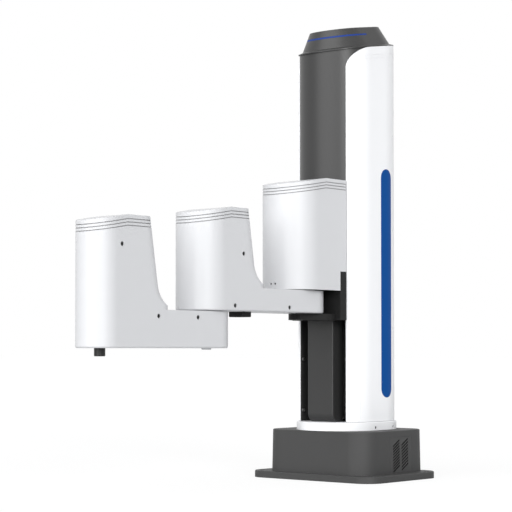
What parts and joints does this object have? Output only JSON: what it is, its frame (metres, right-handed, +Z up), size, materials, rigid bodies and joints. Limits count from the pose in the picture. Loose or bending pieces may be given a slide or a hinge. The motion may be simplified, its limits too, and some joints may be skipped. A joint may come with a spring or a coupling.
{
  "type": "scara robot",
  "caption": "SCARA robot: a slim column with a powered lift carrying jointed horizontal links and a turning tool shaft, on a bolt-down base with side vents and rear sockets",
  "frame": {"origin": "centre of the base plate's underside, on the surface it stands on", "axes": "+Z up along the column, +X from the column along the outstretched arm, +Y to the robot's left"},
  "size_m": [0.6282, 0.23, 0.6818],
  "materials": {
    "base_paint": "fine-textured dark grey powder coat",
    "base_panel": "dark grey sheet",
    "socket_black": "moulded black",
    "button_steel": "smooth grey",
    "supply_case": "plain sheet",
    "board_green": "solder mask",
    "cover_white": "satin white",
    "arm_white": "satin white paint on a casting",
    "stripe_blue": "satin blue",
    "cover_dark": "dark grey",
    "light_strip": "diffusing strip",
    "frame_metal": "dark anodised",
    "bracket_black": "black painted casting",
    "bare_steel": "ground",
    "screw_black": "blackened",
    "shaft_black": "black oxide",
    "lift_motor_case": "black paint",
    "drive_case": "black anodised"
  },
  "bodies": {
    "base": {"base_plate": "base_paint", "base_housing": "base_paint", "vent_panels": "base_panel", "rear_panel": "base_panel", "power_inlet": "socket_black", "button_bezel": "socket_black", "network_jacks": "socket_black", "stop_socket": "socket_black", "power_supply": "supply_case", "foot_ring": "cover_white", "side_cover_left": "cover_white", "side_cover_right": "cover_white", "rear_cover": "cover_white", "side_stripes": "stripe_blue", "front_cover": "cover_dark", "screw_cover": "cover_dark", "top_cap": "cover_dark", "status_light": "light_strip", "column_frame": "frame_metal", "linear_rails": "bare_steel", "lower_screw_bearing": "bare_steel", "upper_screw_bearing": "bare_steel", "motor_plate": "bare_steel", "lift_motor": "lift_motor_case", "control_board": "board_green", "recess_screws": "screw_black", "cover_screws": "screw_black"},
    "button": {"power_button": "button_steel"},
    "screw": {"lift_screw": "bare_steel", "shaft_coupling": "bare_steel"},
    "carriage": {"guide_blocks": "bare_steel", "carriage_plate": "bracket_black", "ball_nut": "bare_steel", "arm_bracket": "bracket_black", "shoulder_cover": "cover_white", "shoulder_screws": "screw_black", "shoulder_drum": "drive_case", "shoulder_motor": "drive_case"},
    "rear_arm": {"rear_arm_frame": "arm_white", "rear_arm_cover": "cover_white", "pivot_bearing": "bare_steel", "shoulder_hub": "bare_steel", "elbow_drum": "drive_case", "elbow_motor": "drive_case", "stop_block": "bracket_black", "rear_arm_screws": "screw_black"},
    "forearm": {"forearm_frame": "arm_white", "forearm_cover": "cover_white", "elbow_hub": "bare_steel", "elbow_cap": "arm_white", "wrist_bearing": "bare_steel", "wrist_mount": "supply_case", "wrist_motor": "drive_case", "forearm_screws": "screw_black"},
    "wrist": {"wrist_shaft": "shaft_black"}
  },
  "joints": [
    {"name": "lift", "type": "slide", "parent": "base", "child": "carriage", "axis": [0, 0, 1], "range_m": [-0.108, 0.132]},
    {"name": "screw_spin", "type": "hinge", "parent": "base", "child": "screw", "pos_m": [0.012, 0, 0.3], "axis": [0, 0, 1], "range_deg": [-2450, 2000]},
    {"name": "shoulder", "type": "hinge", "parent": "carriage", "child": "rear_arm", "pos_m": [0.105, 0, 0.26], "axis": [0, 0, 1], "range_deg": [-85, 85]},
    {"name": "elbow", "type": "hinge", "parent": "rear_arm", "child": "forearm", "pos_m": [0.305, 0, 0.243], "axis": [0, 0, 1], "range_deg": [-125, 125]},
    {"name": "wrist_turn", "type": "hinge", "parent": "forearm", "child": "wrist", "pos_m": [0.505, 0, 0.2], "axis": [0, 0, 1], "range_deg": [-360, 360]},
    {"name": "power_push", "type": "slide", "parent": "base", "child": "button", "axis": [1, 0, 0], "range_m": [0, 0.0025], "stiffness_N_per_m": 800, "springref_m": -0.0005}
  ],
  "couplings": [
    {"joint": "screw_spin", "follows": "lift", "rad_per_m": -314.16}
  ]
}
